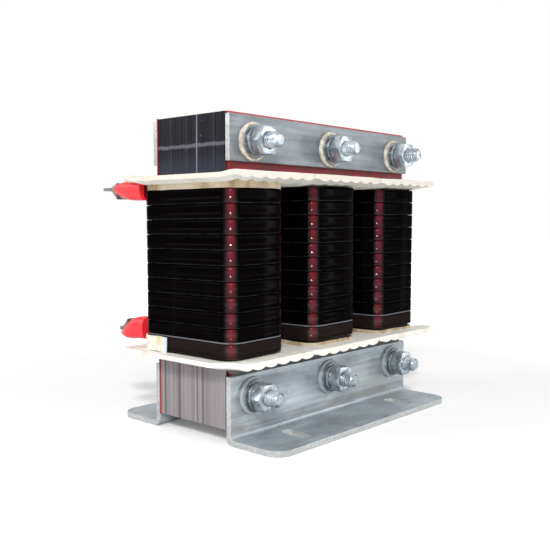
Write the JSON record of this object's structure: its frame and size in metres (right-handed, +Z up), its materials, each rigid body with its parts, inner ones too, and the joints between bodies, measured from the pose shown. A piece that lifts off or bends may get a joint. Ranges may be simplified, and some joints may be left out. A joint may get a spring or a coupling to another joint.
{
  "type": "line reactor",
  "caption": "Three-phase line reactor: flat-wire coils on a laminated core, clamped between zinc-plated strips and slotted foot brackets.",
  "frame": {"origin": "the point on the mounting plane midway between the four slots of the foot brackets, under the middle of the core", "axes": "+X along the row of coils, -Y towards the side with the nuts, +Y towards the terminal leads, +Z up"},
  "size_m": [0.17, 0.1271, 0.1587],
  "materials": {
    "varnished_core": "stacked lamination edges under dark varnish",
    "bare_core": "stacked lamination edges, thinly varnished",
    "zinc_steel": "zinc-plated sheet, cloudy",
    "bright_zinc": "bright zinc-plated fasteners",
    "red_sheet": "red insulating sheet with pale cut edges",
    "sleeve_red": "bright red heat-shrink sleeving",
    "enamel": "enamelled flat copper wire under glossy dark varnish",
    "board_white": "white fibre board",
    "cloth": "cream glass cloth under varnish",
    "paper": "brown insulating paper",
    "pad": "cream fibre washer",
    "tinned_copper": "dull tinned copper"
  },
  "bodies": {
    "root": {"top_yoke": "varnished_core", "bottom_yoke": "bare_core", "left_leg": "bare_core", "middle_leg": "bare_core", "right_leg": "bare_core", "gap_sheets": "paper", "packing_strips": "paper", "left_former": "paper", "middle_former": "paper", "right_former": "paper", "left_wrap": "cloth", "middle_wrap": "cloth", "right_wrap": "cloth", "left_winding": "enamel", "middle_winding": "enamel", "right_winding": "enamel", "top_bands": "cloth", "bottom_collars": "cloth", "start_tapes": "cloth", "left_top_board": "board_white", "middle_top_board": "board_white", "right_top_board": "board_white", "left_bottom_board": "board_white", "middle_bottom_board": "board_white", "right_bottom_board": "board_white", "front_top_sheet": "red_sheet", "back_top_sheet": "red_sheet", "front_bottom_sheet": "red_sheet", "back_bottom_sheet": "red_sheet", "front_top_strip": "zinc_steel", "back_top_strip": "zinc_steel", "front_foot_bracket": "zinc_steel", "back_foot_bracket": "zinc_steel", "through_bolts": "bright_zinc", "bolt_tubes": "cloth", "insulating_washers": "pad", "flat_washers": "bright_zinc", "spring_washers": "bright_zinc", "nuts": "bright_zinc", "top_lugs": "tinned_copper", "bottom_lugs": "tinned_copper", "top_sleeves": "sleeve_red", "bottom_sleeves": "sleeve_red"}
  },
  "joints": []
}
